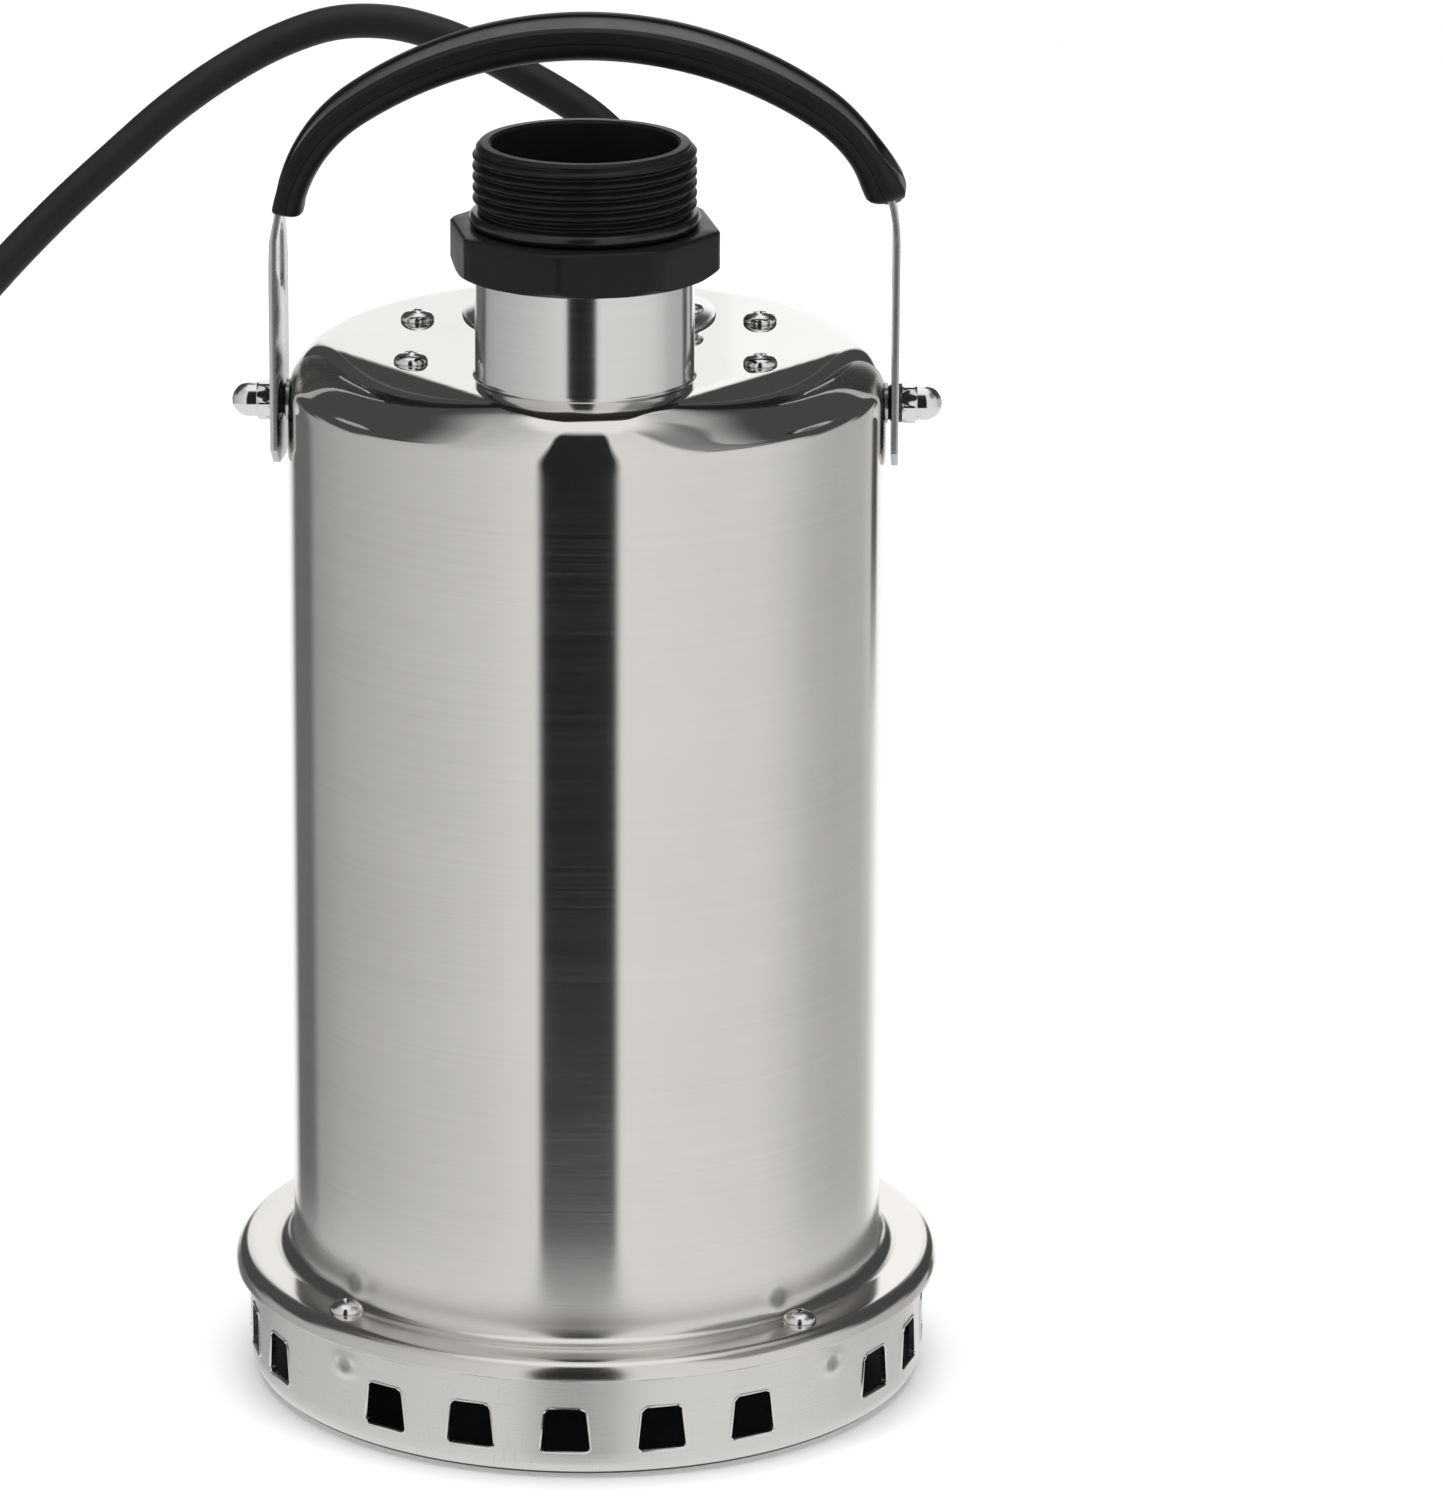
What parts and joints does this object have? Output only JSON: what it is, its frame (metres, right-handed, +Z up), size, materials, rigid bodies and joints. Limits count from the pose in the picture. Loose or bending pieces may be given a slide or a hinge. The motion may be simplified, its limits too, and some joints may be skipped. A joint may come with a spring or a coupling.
{
  "type": "submersible sump pump",
  "caption": "Submersible sump pump: a stainless can over a slotted inlet strainer, a threaded top outlet, a swinging bail handle with a black grip, and a power cord with its plug.",
  "frame": {"origin": "on the shell's axis, at the underside of the strainer", "axes": "+Z up along the shell's axis; -Y is the front, where the outlet is; +X is to the right seen from the front"},
  "size_m": [0.4239, 0.1601, 0.3071],
  "materials": {
    "shell_steel": "polished with a fine brushed grain round the shell",
    "strainer_steel": "satin with handling scratches",
    "fastener_steel": "bright",
    "nut_chrome": "polished",
    "washer_black_steel": "blackened",
    "cover_steel": "polished",
    "strap_steel": "satin",
    "grip_rubber": "satin black",
    "black_plastic": "satin black moulded",
    "black_rubber": "satin black",
    "can_steel": "satin",
    "cast_aluminium": "as cast",
    "laminations": "varnished electrical steel",
    "winding_copper": "enamelled copper wire",
    "capacitor_case": "moulded",
    "bearing_steel": "ground",
    "seal_ceramic": "lapped ceramic",
    "seal_carbon": "carbon",
    "brass": "machined",
    "cord_rubber": "satin black jacket",
    "tie_rubber": "ribbed black",
    "plug_rubber": "moulded black",
    "plug_brass": "stamped brass"
  },
  "bodies": {
    "pump": {"outer_shell": "shell_steel", "shell_flange": "shell_steel", "discharge_stub": "shell_steel", "threaded_adapter": "black_plastic", "outlet_oring": "black_rubber", "strainer_base": "strainer_steel", "base_brackets": "strainer_steel", "base_screws": "fastener_steel", "top_screws": "fastener_steel", "pivot_studs": "fastener_steel", "pivot_bushes": "black_rubber", "lock_washers": "washer_black_steel", "cap_nuts": "nut_chrome", "cable_cover": "cover_steel", "cable_cover_screws": "fastener_steel", "gland_nut": "black_plastic", "gland_bush": "black_rubber", "strain_relief": "black_rubber", "motor_can": "can_steel", "upper_cover": "cast_aluminium", "lower_cover": "cast_aluminium", "cover_orings": "black_rubber", "stator_core": "laminations", "stator_windings": "winding_copper", "capacitor": "capacitor_case", "upper_bearing": "bearing_steel", "lower_bearing": "bearing_steel", "oil_chamber": "cast_aluminium", "seal_seat": "seal_ceramic", "diffuser": "black_plastic", "suction_plate": "black_plastic", "wear_ring": "brass", "casing_screws": "fastener_steel", "cord_run": "cord_rubber", "cord_coil": "cord_rubber", "coil_tie": "tie_rubber", "cord_tail": "cord_rubber", "plug_body": "plug_rubber", "plug_blades": "plug_brass", "plug_ground_pin": "plug_brass"},
    "handle": {"handle_strap": "strap_steel", "handle_grip": "grip_rubber"},
    "rotor": {"motor_shaft": "bearing_steel", "rotor_core": "laminations", "seal_head": "seal_carbon", "seal_spring": "bearing_steel", "impeller": "black_plastic", "impeller_nut": "brass"}
  },
  "joints": [
    {"name": "handle_pivot", "type": "hinge", "parent": "pump", "child": "handle", "pos_m": [0, 0, 0.222], "axis": [1, 0, 0], "range_deg": [-19, 21]},
    {"name": "impeller_spin", "type": "hinge", "parent": "pump", "child": "rotor", "pos_m": [0, 0, 0.1], "axis": [0, 0, 1], "continuous": true}
  ]
}
